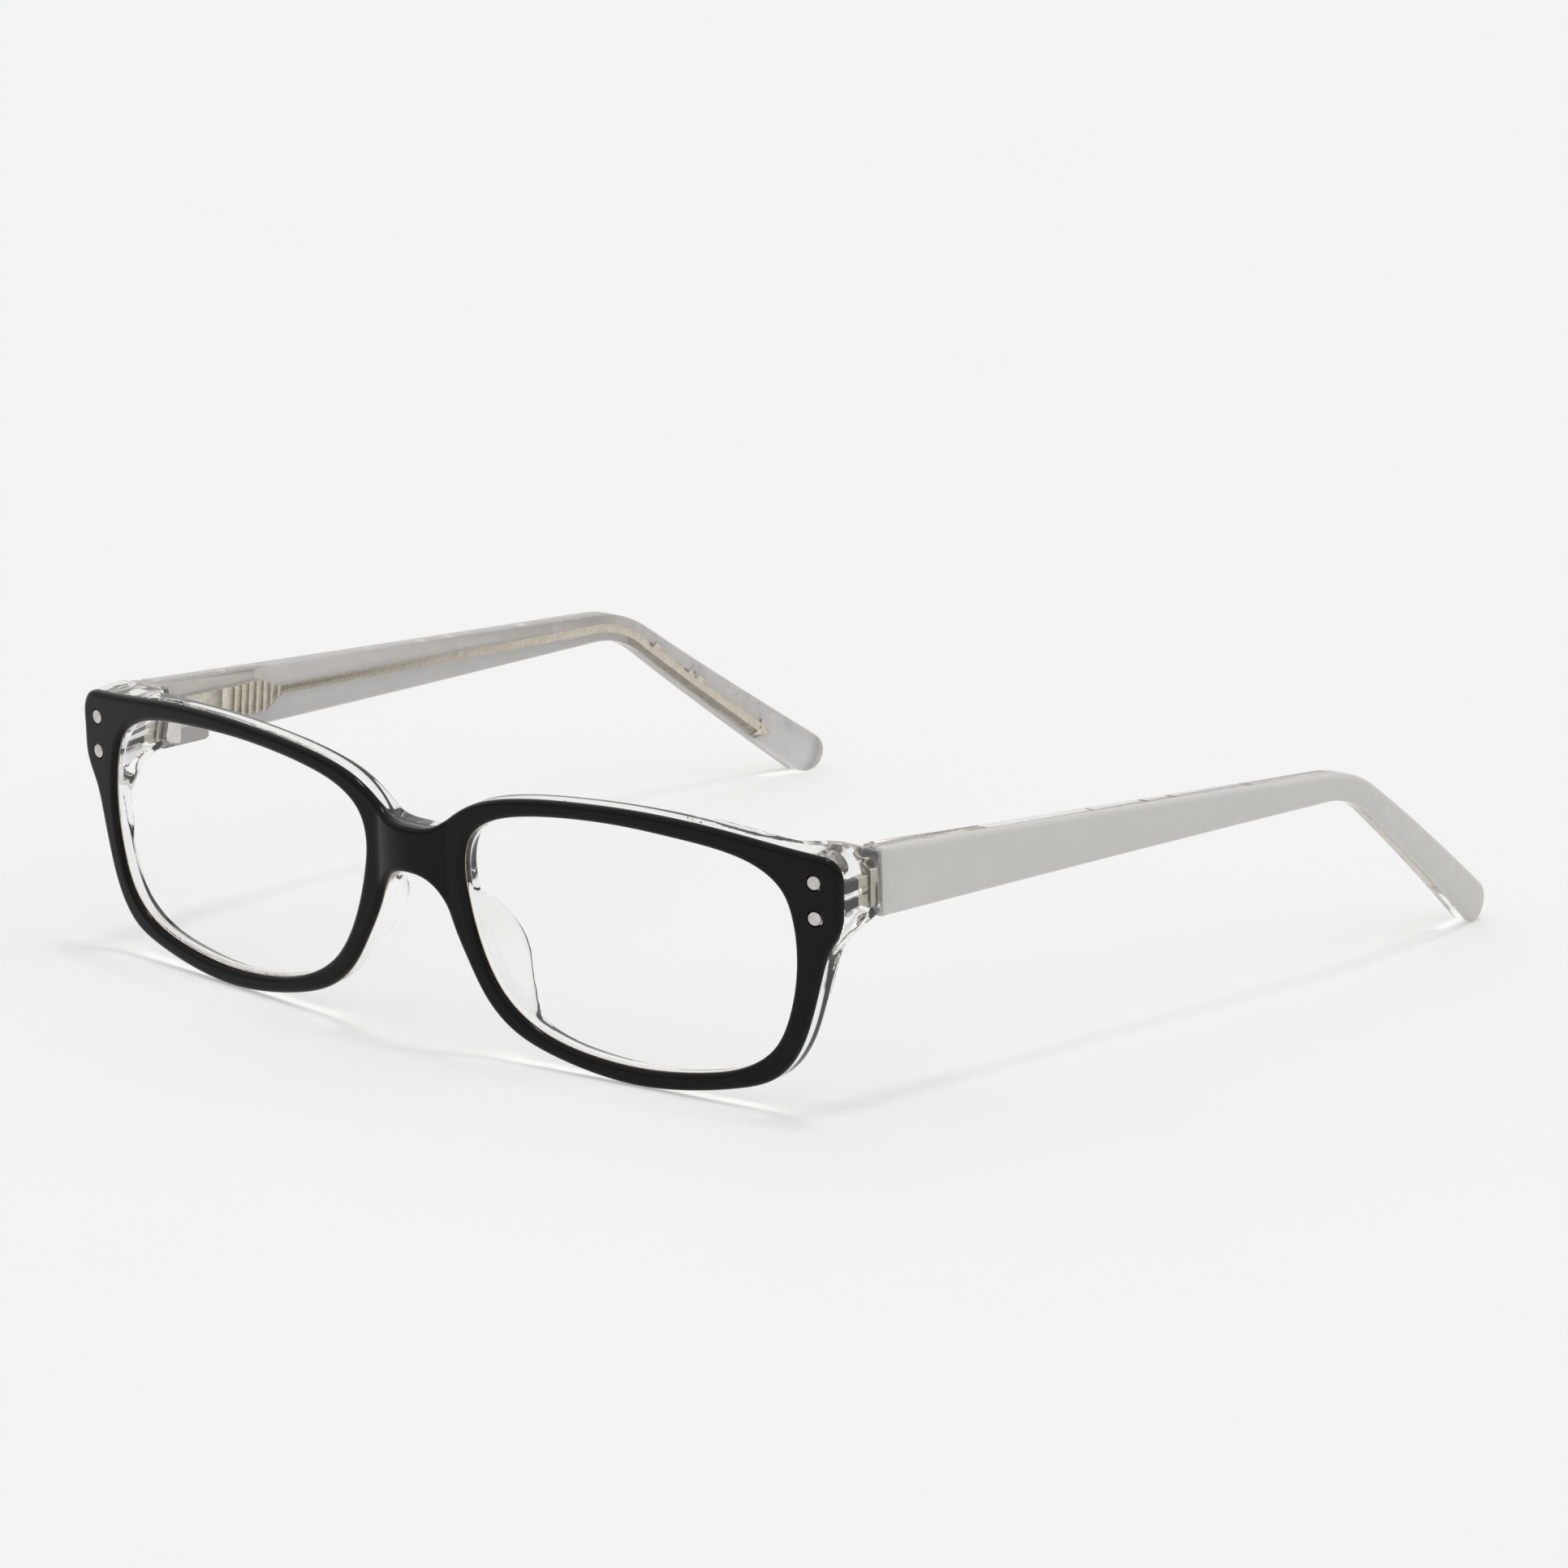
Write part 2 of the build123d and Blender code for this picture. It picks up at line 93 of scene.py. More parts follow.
# --- temple -----------------------------------------------------------------------------------------
# its outer face seen from above: y and x
TEMPLE_PLAN = [(10, 64.5), (45, 65), (80, 65.7), (105, 66.4), (120, 66.6), (137, 65.2), (165, 60.2)]
TEMPLE_THICKNESS = 4.0
WHITE_DEPTH = 1.2
TEMPLE_FRONT_W = 18.85      # where the temple meets the end piece
TEMPLE_FRONT_V = (24.558, 34.106)
TEMPLE_CORNERS = [          # y, z and rounding, after the lower front corner and before the upper one
    ((118.9, 25.5), 20.0), ((157.95, -1.11), 2.85), ((161.3, 3.81), 2.85), ((119.4, 29.1), 24.0),
]


# --- curves -------------------------------------------------------------------------------------------
CURVE_PARTS = 24            # straight parts in each stretch of a curve, or in a rounded corner


def bending(steps, points, closed):
    """Second derivatives of the cubic curve through the points, free at its ends or closed."""
    count = len(points)
    matrix = np.eye(count)
    right = np.zeros((count, 2))
    for i in range(count) if closed else range(1, count - 1):
        before, after = steps[i - 1], steps[i]
        nxt = points[(i + 1) % count]
        matrix[i] = 0
        matrix[i, i - 1] += before
        matrix[i, i] += 2 * (before + after)
        matrix[i, (i + 1) % count] += after
        right[i] = 6 * ((nxt - points[i]) / after - (points[i] - points[i - 1]) / before)
    return np.linalg.solve(matrix, right)


def evenly(points, spacing, closed=False):
    """The same line with its points a given distance apart."""
    if closed:
        points = np.vstack([points, points[:1]])
    reach = np.concatenate([[0], np.cumsum(np.linalg.norm(np.diff(points, axis=0), axis=1))])
    count = max(2, int(round(reach[-1] / spacing)))
    at = np.linspace(0, reach[-1], count + 1)
    line = np.column_stack([np.interp(at, reach, points[:, i]) for i in (0, 1)])
    return line[:-1] if closed else line


def through(points, spacing, closed=False):
    """Evenly spaced points on the smooth curve through the given ones."""
    points = np.array(points, float)
    ends = np.vstack([points, points[:1]]) if closed else points
    steps = np.linalg.norm(np.diff(ends, axis=0), axis=1)
    bend = bending(steps, points, closed)
    bend = np.vstack([bend, bend[:1]]) if closed else bend
    line = []
    for i, step in enumerate(steps):
        for part in np.linspace(0, 1, CURVE_PARTS, endpoint=False):
            rest = 1 - part
            curve = (rest**3 - rest) * bend[i] + (part**3 - part) * bend[i + 1]
            line.append(rest * ends[i] + part * ends[i + 1] + curve * step**2 / 6)
    if not closed:
        line.append(ends[-1])
    return evenly(np.array(line), spacing, closed)


def rounded(corners, spacing):
    """A closed outline of straight runs, with each (point, radius) corner rounded."""
    line = []
    for i, (point, radius) in enumerate(corners):
        point = np.array(point, float)
        away = [np.array(corners[k % len(corners)][0], float) - point for k in (i - 1, i + 1)]
        away = [step / np.linalg.norm(step) for step in away]
        half = math.acos(np.clip(away[0] @ away[1], -1, 1)) / 2
        middle = (away[0] + away[1]) / np.linalg.norm(away[0] + away[1])
        centre = point + middle * radius / math.sin(half)
        start = point + away[0] * radius / math.tan(half) - centre
        end = point + away[1] * radius / math.tan(half) - centre
        turn = math.atan2(start[0] * end[1] - start[1] * end[0], start @ end)
        for part in np.linspace(0, 1, CURVE_PARTS + 1):
            c, s = math.cos(turn * part), math.sin(turn * part)
            line.append(centre + (c * start[0] - s * start[1], s * start[0] + c * start[1]))
    return evenly(np.array(line), spacing, closed=True)


def area_of(loop):
    """The signed area inside a closed line."""
    x, y = loop.T
    return 0.5 * np.sum(x * np.roll(y, -1) - y * np.roll(x, -1))


def facing(loop, inside):
    """The loop, turned so that what it bounds is on its left: its inside, or its outside for a hole."""
    return loop if (area_of(loop) > 0) == inside else loop[::-1]


def leftward(loop):
    """Unit vectors to the left of a closed line."""
    along = np.roll(loop, -1, axis=0) - np.roll(loop, 1, axis=0)
    along /= np.linalg.norm(along, axis=1)[:, None]
    return np.column_stack([-along[:, 1], along[:, 0]])


def within(points, loops):
    """Which points lie inside the first loop and outside the others."""
    inside = np.zeros(len(points), bool)
    x, y = points[:, 0][:, None], points[:, 1][:, None]
    for loop in loops:
        x0, y0 = loop.T
        x1, y1 = np.roll(loop, -1, axis=0).T
        crosses = (y0 > y) != (y1 > y)
        rise = np.where(y1 == y0, 1, y1 - y0)
        inside ^= (crosses & (x < x0 + (y - y0) * (x1 - x0) / rise)).sum(1) % 2 == 1
    return inside


def nearest(points, line):
    """The distance from each point to the closest point of a line, a block of points at a time."""
    found = np.empty(len(points))
    size = 512
    for start in range(0, len(points), size):
        block = points[start:start + size]
        found[start:start + size] = np.linalg.norm(block[:, None] - line[None], axis=2).min(1)
    return found


ROW_SHARE = 0.866           # rows of an even triangle grid are this much closer than its points
GRID_MARGIN = 0.6           # shares of the spacing that a grid keeps from a line


def grid(loops, spacing, box=None):
    """A staggered grid of points inside the loops, kept off their lines."""
    low, high = (loops[0].min(0), loops[0].max(0)) if box is None else box
    rows = np.arange(low[1], high[1], spacing * ROW_SHARE)
    points = [
        (x + (row % 2) * spacing / 2, y)
        for row, y in enumerate(rows) for x in np.arange(low[0], high[0], spacing)
    ]
    points = np.array(points)
    points = points[within(points, loops)]
    return points[nearest(points, np.vstack(loops)) > GRID_MARGIN * spacing]


def smoothstep(value, low, high):
    """0 below low, 1 above high, and an S-shaped rise between them."""
    part = np.clip((value - low) / (high - low), 0, 1)
    return part * part * (3 - 2 * part)


# --- plates: every laminated layer is an outline with rounded edges ---------------------------------
def round_over(inset, depth, start=0.0, outward=False, steps=7):
    """(inset, depth) stations of an elliptical edge that starts on a face, or ends on one if outward."""
    stations = []
    for part in np.linspace(0, math.pi / 2, steps):
        stations.append((inset * (1 - math.sin(part)), depth * (1 - math.cos(part))))
    if outward:
        return [(i, start - d) for i, d in reversed(stations)]
    return [(i, start + d) for i, d in stations]


def plate(name, loops, stations, place, inner=((), ()), shrink=None, seam=None, back_kind=0):
    """A solid sheet bounded by loops, with the same edge shape all round.

    stations are (inset, depth) pairs from the front face to the back one. place turns (points, depths) into
    metres. inner holds the extra points of the front and of the back face. shrink gives, for each loop, how
    much of the inset each of its points takes. seam is the first station of the second material and, for
    each loop, the points that have it. back_kind is the material number of the back face.
    """
    verts, faces, kinds, rings = [], [], [], []
    for index, loop in enumerate(loops):
        left = leftward(loop)
        share = np.ones(len(loop)) if shrink is None else shrink[index]
        ring = []
        for inset, depth in stations:
            ring.append((len(verts), loop + left * (inset * share)[:, None], depth))
            verts.extend(place(ring[-1][1], np.full(len(loop), depth)))
        rings.append(ring)
        count = len(loop)
        for k, ((a, *_), (b, *_)) in enumerate(zip(ring, ring[1:])):
            for i in range(count):
                j = (i + 1) % count
                faces.append((a + i, b + i, b + j, a + j))
                kinds.append(int(seam is not None and k >= seam[0] and seam[1][index][i]))
    for end, extra in ((0, inner[0]), (-1, inner[1])):
        bounds = [ring[end][1] for ring in rings]
        numbers = [ring[end][0] + i for ring in rings for i in range(len(ring[end][1]))]
        extra = np.array(extra, float).reshape(-1, 2)
        depth = stations[end][1]
        numbers += [len(verts) + i for i in range(len(extra))]
        if len(extra):
            verts.extend(place(extra, np.full(len(extra), depth)))
        flat = np.vstack(bounds + [extra])
        edges, first = [], 0
        for line in bounds:
            edges += [(first + i, first + (i + 1) % len(line)) for i in range(len(line))]
            first += len(line)
        points, _, triangles, sources, *_ = delaunay_2d_cdt([Vector(p) for p in flat], edges, [], 0, 1e-7)
        corner = [numbers[source[0]] for source in sources]
        points, triangles = np.array([p[:] for p in points]), np.array(triangles)
        for a, b, c in triangles[within(points[triangles].mean(1), bounds)]:
            faces.append((corner[a], corner[b], corner[c]) if end else (corner[a], corner[c], corner[b]))
            kinds.append(back_kind if end else 0)
    return solid(name, verts, faces, kinds)


def solid(name, verts, faces, kinds=None):
    """A smooth-shaded mesh object whose faces all look outward."""
    mesh = bpy.data.meshes.new(name)
    mesh.from_pydata([tuple(v) for v in verts], [], [tuple(int(i) for i in face) for face in faces])
    if kinds is not None:
        mesh.polygons.foreach_set("material_index", kinds)
    shape = bmesh.new()
    shape.from_mesh(mesh)
    bmesh.ops.recalc_face_normals(shape, faces=shape.faces)
    shape.to_mesh(mesh)
    shape.free()
    mesh.polygons.foreach_set("use_smooth", [True] * len(mesh.polygons))
    piece = bpy.data.objects.new(name, mesh)
    bpy.context.scene.collection.objects.link(piece)
    return piece


def finish_piece(piece, body, nodes, materials):
    """Gives a piece its materials and its body, and hides the CAD nodes it stands for."""
    for material in materials:
        piece.data.materials.append(material)
    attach(piece, body)
    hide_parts(*nodes)


def mirrored(piece, name):
    """The same piece for the left side."""
    mesh = piece.data.copy()
    mesh.transform(Matrix.Scale(-1, 4, (1, 0, 0)))
    mesh.flip_normals()
    twin = bpy.data.objects.new(name, mesh)
    bpy.context.scene.collection.objects.link(twin)
    return twin


# --- materials ----------------------------------------------------------------------------------------
class Finish:
    """A procedural material on the Principled shader, with its detail in real lengths."""

    def __init__(self, name, **settings):
        self.material = bpy.data.materials.new(name)
        self.material.use_nodes = True
        self.tree = self.material.node_tree
        self.shader = self.tree.nodes["Principled BSDF"]
        for socket, value in settings.items():
            self.shader.inputs[socket.replace("_", " ")].default_value = value
        self.place = self.add("ShaderNodeTexCoord").outputs["Object"]

    def add(self, kind, **inputs):
        node = self.tree.nodes.new(kind)
        for socket, value in inputs.items():
            self.feed(node, socket.replace("_", " "), value)
        return node

    def feed(self, node, socket, value):
        if isinstance(value, bpy.types.NodeSocket):
            self.tree.links.new(value, node.inputs[socket])
        else:
            node.inputs[socket].default_value = value

    def stretched(self, scale):
        """Coordinates squeezed by a different amount along each axis, for grain with a direction."""
        node = self.add("ShaderNodeMapping", Vector=self.place)
        node.inputs["Scale"].default_value = scale
        return node.outputs["Vector"]

    def noise(self, size, detail=2.0, roughness=0.5, place=None):
        """Noise whose features are about size millimetres across."""
        node = self.add(
            "ShaderNodeTexNoise", Vector=place or self.place, Scale=1 / (size * MM), Detail=detail,
            Roughness=roughness,
        )
        return node.outputs["Fac"]

    def spread(self, value, low, high, start=0.3, end=0.7):
        """The value's middle range stretched to low..high."""
        node = self.add("ShaderNodeMapRange", Value=value)
        for socket, number in (("From Min", start), ("From Max", end), ("To Min", low), ("To Max", high)):
            node.inputs[socket].default_value = number
        return node.outputs["Result"]

    def ramp(self, value, *stops):
        """A colour that follows the value through (position, colour) stops."""
        node = self.add("ShaderNodeValToRGB", Fac=value)
        ramp = node.color_ramp
        while len(ramp.elements) < len(stops):
            ramp.elements.new(0.5)
        for element, (position, colour) in zip(ramp.elements, stops):
            element.position = position
            element.color = (*colour, 1)
        return node.outputs["Color"]

    def bump(self, *layers):
        """Stacks bump layers of (height, depth in millimetres)."""
        normal = None
        for height, depth in layers:
            node = self.add("ShaderNodeBump", Height=height, Distance=depth * MM)
            if normal is not None:
                self.feed(node, "Normal", normal)
            normal = node.outputs["Normal"]
        self.feed(self.shader, "Normal", normal)

    def colour(self, value):
        self.feed(self.shader, "Base Color", value)

    def rough(self, value):
        self.feed(self.shader, "Roughness", value)

    def see_through(self, tint):
        """Lets light fall through the piece, tinted, so that it casts only a faint shadow."""
        clear = self.add("ShaderNodeBsdfTransparent")
        clear.inputs["Color"].default_value = (*tint, 1)
        path = self.add("ShaderNodeLightPath")
        mix = self.add("ShaderNodeMixShader", Fac=path.outputs["Is Shadow Ray"])
        self.tree.links.new(self.shader.outputs["BSDF"], mix.inputs[1])
        self.tree.links.new(clear.outputs["BSDF"], mix.inputs[2])
        output = next(node for node in self.tree.nodes if node.type == "OUTPUT_MATERIAL")
        self.tree.links.new(mix.outputs["Shader"], output.inputs["Surface"])


def black_acetate():
    """Polished black sheet with the faintest orange peel and fine hairline wear."""
    finish = Finish("black_acetate_finish", Specular_IOR_Level=0.18, IOR=1.49)
    finish.colour(finish.ramp(
        finish.noise(6, 3), (0.35, (0.0018, 0.0018, 0.002)), (0.7, (0.003, 0.0029, 0.003)),
    ))
    hairs = finish.noise(0.5, 4, 0.6, finish.stretched((0.2, 0.2, 3)))
    finish.rough(finish.spread(hairs, 0.02, 0.06))
    finish.bump((finish.noise(3.2, 2), 0.012), (finish.noise(0.28, 3), 0.0012))
    return finish.material


def seam_glue():
    """The thin warm line where the black sheet is laminated to the clear one."""
    finish = Finish("seam_finish", Specular_IOR_Level=0.3)
    finish.colour(finish.ramp(finish.noise(0.9, 3), (0.3, (0.42, 0.31, 0.24)), (0.75, (0.6, 0.47, 0.38))))
    finish.rough(finish.spread(finish.noise(0.4), 0.3, 0.5))
    finish.bump((finish.noise(0.3, 3), 0.004))
    return finish.material


def clear_acetate(name, low, high, shadow):
    """Water-clear acetate: slight flow lines inside the sheet and a tumble-polished surface."""
    finish = Finish(name, Transmission_Weight=1.0, IOR=1.47, Specular_IOR_Level=0.5)
    finish.colour(finish.ramp(finish.noise(9, 2), (0.3, low), (0.7, high)))
    finish.rough(finish.spread(finish.noise(1.3, 3), 0.0, 0.03))
    finish.bump((finish.noise(4.5, 2), 0.02), (finish.noise(0.6, 3), 0.0015))
    finish.see_through(shadow)
    return finish.material


def lens_plastic():
    """A demo lens: thin, colourless and almost without reflections."""
    finish = Finish("demo_lens_finish", Transmission_Weight=1.0, IOR=1.08, Specular_IOR_Level=0.5)
    finish.colour(finish.ramp(finish.noise(15, 1), (0.3, (0.995, 0.995, 0.995)), (0.7, (1.0, 1.0, 1.0))))
    finish.rough(finish.spread(finish.noise(2, 2), 0.0, 0.012))
    finish.bump((finish.noise(8, 1), 0.003))
    finish.see_through((0.995, 0.995, 0.995))
    return finish.material


def white_acetate(name, low, high):
    """Milky off-white sheet, satin polished, with a soft cloudiness."""
    finish = Finish(name, Specular_IOR_Level=0.3, IOR=1.49)
    finish.colour(finish.ramp(finish.noise(7, 3, 0.55), (0.3, low), (0.72, high)))
    hairs = finish.noise(0.45, 4, 0.6, finish.stretched((3, 0.12, 3)))
    finish.rough(finish.spread(hairs, 0.3, 0.45))
    finish.bump((finish.noise(3.5, 2), 0.01), (finish.noise(0.35, 3), 0.0015))
    return finish.material


def metal(name, low, high, rough, grain=(1, 1, 1)):
    """Drawn or stamped metal with a brushed grain and small stains."""
    finish = Finish(name, Metallic=1.0)
    finish.colour(finish.ramp(finish.noise(1.1, 4, 0.6), (0.3, low), (0.72, high)))
    lines = finish.noise(0.16, 4, 0.6, finish.stretched(grain))
    finish.rough(finish.spread(lines, *rough))
    finish.bump((lines, 0.004), (finish.noise(0.6, 2), 0.004))
    return finish.material


BLACK = black_acetate()
SEAM = seam_glue()
CLEAR = clear_acetate(
    "clear_acetate_finish", (0.955, 0.96, 0.955), (0.975, 0.98, 0.974), (0.96, 0.96, 0.95),
)
CLEAR_TEMPLE = clear_acetate(
    "clear_temple_finish", (0.993, 0.992, 0.988), (1.0, 0.999, 0.997), (0.985, 0.985, 0.98),
)
LENS = lens_plastic()
WHITE = white_acetate("white_acetate_finish", (0.575, 0.566, 0.54), (0.595, 0.586, 0.56))
# the face of the white sheet that is bonded to the clear one, seen through it, in a lighter copy of the
# white: painted light
WHITE_BONDED_PAINTED_LIGHT = white_acetate("white_bonded_painted_light_finish", (0.755, 0.74, 0.727), (0.785, 0.775, 0.76))
STEEL = metal("rivet_steel_finish", (0.5, 0.49, 0.47), (0.66, 0.65, 0.63), (0.16, 0.34))
NICKEL = metal("nickel_silver_finish", (0.4, 0.37, 0.3), (0.54, 0.5, 0.42), (0.2, 0.4), (0.3, 3, 1))
# the front half of a hinge has knuckles in a lighter copy of the nickel, as painted light, a duller leaf,
# and buried anchors in near-black metal, as painted shade
KNUCKLE_PAINTED_LIGHT = metal("knuckle_painted_light_finish", (0.62, 0.6, 0.55), (0.76, 0.74, 0.7), (0.14, 0.3), (0.3, 3, 1))
ANCHOR_PAINTED_SHADE = metal("anchor_painted_shade_finish", (0.035, 0.035, 0.037), (0.07, 0.07, 0.072), (0.3, 0.5), (0.3, 3, 1))
SCREW = metal("screw_steel_finish", (0.42, 0.41, 0.4), (0.56, 0.55, 0.53), (0.18, 0.34), (3, 0.4, 1))
SPRING = metal("spring_steel_finish", (0.35, 0.34, 0.33), (0.5, 0.49, 0.47), (0.2, 0.36))
GOLD = metal("spring_box_gold_finish", (0.6, 0.55, 0.46), (0.76, 0.71, 0.62), (0.18, 0.34), (2, 0.3, 2))
WIRE = metal("core_wire_gold_finish", (0.58, 0.52, 0.42), (0.74, 0.68, 0.58), (0.2, 0.36), (3, 0.2, 3))


# --- the front ----------------------------------------------------------------------------------------
BRIDGE_FADE = (7.0, 9.5)    # the swelling over the nose ends between these distances from the middle
BRIDGE_RADIUS = 13.2
BRIDGE_CENTRE_W = 11.9
BRIDGE_BLEND = 0.12
BRIDGE_REACH = 0.8          # share of the radius up to which the swelling's arc is followed
EDGE_INSET, EDGE_DEPTH = 0.92, 0.8
SEAM_STATIONS = [(0, 0.86), (-0.012, 0.88), (-0.012, 1.0), (0.12, 1.1)]     # the glue line, slightly proud
RIVET_EDGE_SHARE = 0.1      # the rivets' holes are almost sharp
SUPPORT_GAP = 0.18          # a line of extra points follows the rounded edge at this distance
SEAM_HALF_WIDTH, SEAM_TOP = 20, 23      # outside the openings, the seam shows only low between the lenses


def front_w(u, depth):
    """How far back the front's curved sheet lies at a sideways place and depth."""
    return FRONT_RADIUS - np.sqrt((FRONT_RADIUS - depth) ** 2 - u**2)


def bridge_raise(u):
    """How far the swelling over the nose stands in front of the curved face."""
    reach = np.clip(np.abs(u), 0, BRIDGE_REACH * BRIDGE_RADIUS)
    rise = front_w(u, 0) - (BRIDGE_CENTRE_W - np.sqrt(BRIDGE_RADIUS**2 - reach**2))
    soft = 0.5 * (rise + np.sqrt(rise**2 + BRIDGE_BLEND**2))
    return soft * (1 - smoothstep(np.abs(u), *BRIDGE_FADE))


def leaning(u, v, w):
    """Front coordinates as places in metres."""
    return FOOT + MM * (np.outer(u, ACROSS) + np.outer(v, UP) + np.outer(w, BACK))


def upright(places):
    """Places in metres as u, v, w of the front."""
    local = (np.asarray(places) - FOOT) / MM
    return local @ ACROSS, local @ UP, local @ BACK


def on_front(points, depths):
    """Points of the front's outline plane at a depth in the curved sheet, in metres."""
    return leaning(points[:, 0], points[:, 1], front_w(points[:, 0], depths))


def on_black(points, depths):
    """The same for the black sheet, whose face swells over the nose."""
    share = 1 - smoothstep(depths, EDGE_DEPTH, BLACK_DEPTH)
    lift = bridge_raise(points[:, 0]) * share
    return leaning(points[:, 0], points[:, 1], front_w(points[:, 0], depths) - lift)


mirror_half = [(-u, v) for u, v in FRONT_HALF[1:-1]][::-1]
outline = facing(through(FRONT_HALF + mirror_half, OUTLINE_STEP, closed=True), True)
opening = facing(through(LENS_OPENING, OUTLINE_STEP, closed=True), False)
openings = [opening, facing(opening * (-1, 1), False)]
turn = np.linspace(0, 2 * math.pi, 40, endpoint=False)
ring = np.column_stack([np.cos(turn), np.sin(turn)])
rivet_places = [(side * RIVET_U, v) for side in (1, -1) for v in RIVET_V]
rivet_holes = [facing(ring * RIVET_HOLE + place, False) for place in rivet_places]

black_loops = [outline, *openings, *rivet_holes]
black_edge = round_over(EDGE_INSET, EDGE_DEPTH, steps=9) + SEAM_STATIONS
inset_share = [np.ones(len(loop)) for loop in (outline, *openings)]
inset_share += [np.full(len(loop), RIVET_EDGE_SHARE) for loop in rivet_holes]


def black_line(gap):
    """The edge of the black sheet's flat face, for each loop, a further gap inside it."""
    return [
        loop + leftward(loop) * (EDGE_INSET * share + gap)[:, None]
        for loop, share in zip(black_loops, inset_share)
    ]


seam_shown = [
    (np.abs(loop[:, 0]) < SEAM_HALF_WIDTH) & (loop[:, 1] < SEAM_TOP) | (k in (1, 2))
    for k, loop in enumerate(black_loops)
]
inner_edge = black_line(0)
support = np.vstack(black_line(SUPPORT_GAP))
support = support[within(support, inner_edge)]
support = support[nearest(support, np.vstack(inner_edge)) > SUPPORT_GAP - 0.03]
bridge_grid = grid(inner_edge, 0.5, ((-10, 20), (10, 38)))
bridge_grid = bridge_grid[nearest(bridge_grid, support) > 0.2]
lug_grid = grid(inner_edge, 0.8, ((56, 22), (66, 36)))
lug_grid = lug_grid[nearest(lug_grid, support) > 0.3]
face_points = np.vstack([support, bridge_grid, lug_grid, lug_grid * (-1, 1)])
black = plate(
    "black_front", black_loops, black_edge, on_black, inner=(face_points, bridge_grid), shrink=inset_share,
    seam=(len(black_edge) - len(SEAM_STATIONS), seam_shown),
)
finish_piece(black, "front", ["front_black_layer"], [BLACK, SEAM])


# --- the clear layer with its lugs and pads -----------------------------------------------------------
VOXEL = 0.25
FILLER_DEPTH = (BLACK_DEPTH - OVERLAP, FRONT_DEPTH - 0.05)      # a sheet that closes the layer's hollows
PAD_REACH = (19.0, 23.5)     # pads lie nearer the middle and lower than this
PAD_SPLAY = 0.16             # how far a pad leans outward, for each millimetre behind the front
PAD_ROOT_W = 4.0
BACK_ROUNDING = 0.9
FINE_STEP = 0.05
LUG_U, LUG_V = (44, 47), (14, 17)       # the end pieces grow out of the rim across these stretches
PAST_BLACK = (1.15, 1.35)    # depths across which the sheet's walls come free of the black layer
LET_GO = (0.4, 0.6)          # a point this far from the exact surface isn't part of it
PLAIN_ROUNDS, SHRINK, GROW = 20, 0.6, -0.62
PAD_ROUNDS = 26
LUG_CORES = [                # solid blocks that close the holes round the buried parts of a hinge
    ((60.4, 26.2, 10.4), (64.3, 33.4, 17.5)),
    ((59.5, 25.5, 15.5), (63.7, 33.0, 18.5)),
]


def cuboid(name, low, high, side=1):
    """A block in the front's frame, on the right side or the left one."""
    corners = np.array(list(itertools.product(*zip(low, high))))
    sides = [(0, 1, 3, 2), (4, 6, 7, 5), (0, 4, 5, 1), (2, 3, 7, 6), (0, 2, 6, 4), (1, 5, 7, 3)]
    return solid(name, leaning(*corners.T) * (side, 1, 1), sides)


def merged(name, pieces, keep=()):
    """One mesh from several objects; those not in keep are deleted."""
    shape = bmesh.new()
    for piece in pieces:
        shape.from_mesh(piece.data)
    bmesh.ops.remove_doubles(shape, verts=shape.verts, dist=1e-6)
    mesh = bpy.data.meshes.new(name)
    shape.to_mesh(mesh)
    shape.free()
    for piece in pieces:
        if piece not in keep:
            bpy.data.objects.remove(piece)
    whole = bpy.data.objects.new(name, mesh)
    bpy.context.scene.collection.objects.link(whole)
    return whole


def applied(piece):
    """Puts the result of a piece's modifiers into its mesh."""
    result = bpy.data.meshes.new_from_object(piece.evaluated_get(bpy.context.evaluated_depsgraph_get()))
    piece.modifiers.clear()
    piece.data = result


def relaxed(places, edges, rounds, amount):
    """Moves every point towards the middle of its neighbours, again and again."""
    ends = np.vstack([edges, edges[:, ::-1]])
    count = np.bincount(ends[:, 0], minlength=len(places))[:, None]
    for _ in range(rounds):
        middle = np.column_stack([
            np.bincount(ends[:, 0], weights=places[ends[:, 1], axis], minlength=len(places))
            for axis in range(3)
        ]) / count
        places = places + amount[:, None] * (middle - places)
    return places


def depth_in(u, w):
    """How deep in the curved sheet a place lies."""
    return FRONT_RADIUS - np.hypot(u, FRONT_RADIUS - w)


def near_pad(u, v, start=0, end=2):
    """1 where a pad grows out of the rim, and 0 away from it, from start to end beyond its reach."""
    side, top = ((reach + start, reach + end) for reach in PAD_REACH)
    return (1 - smoothstep(np.abs(u), *side)) * (1 - smoothstep(v, *top))


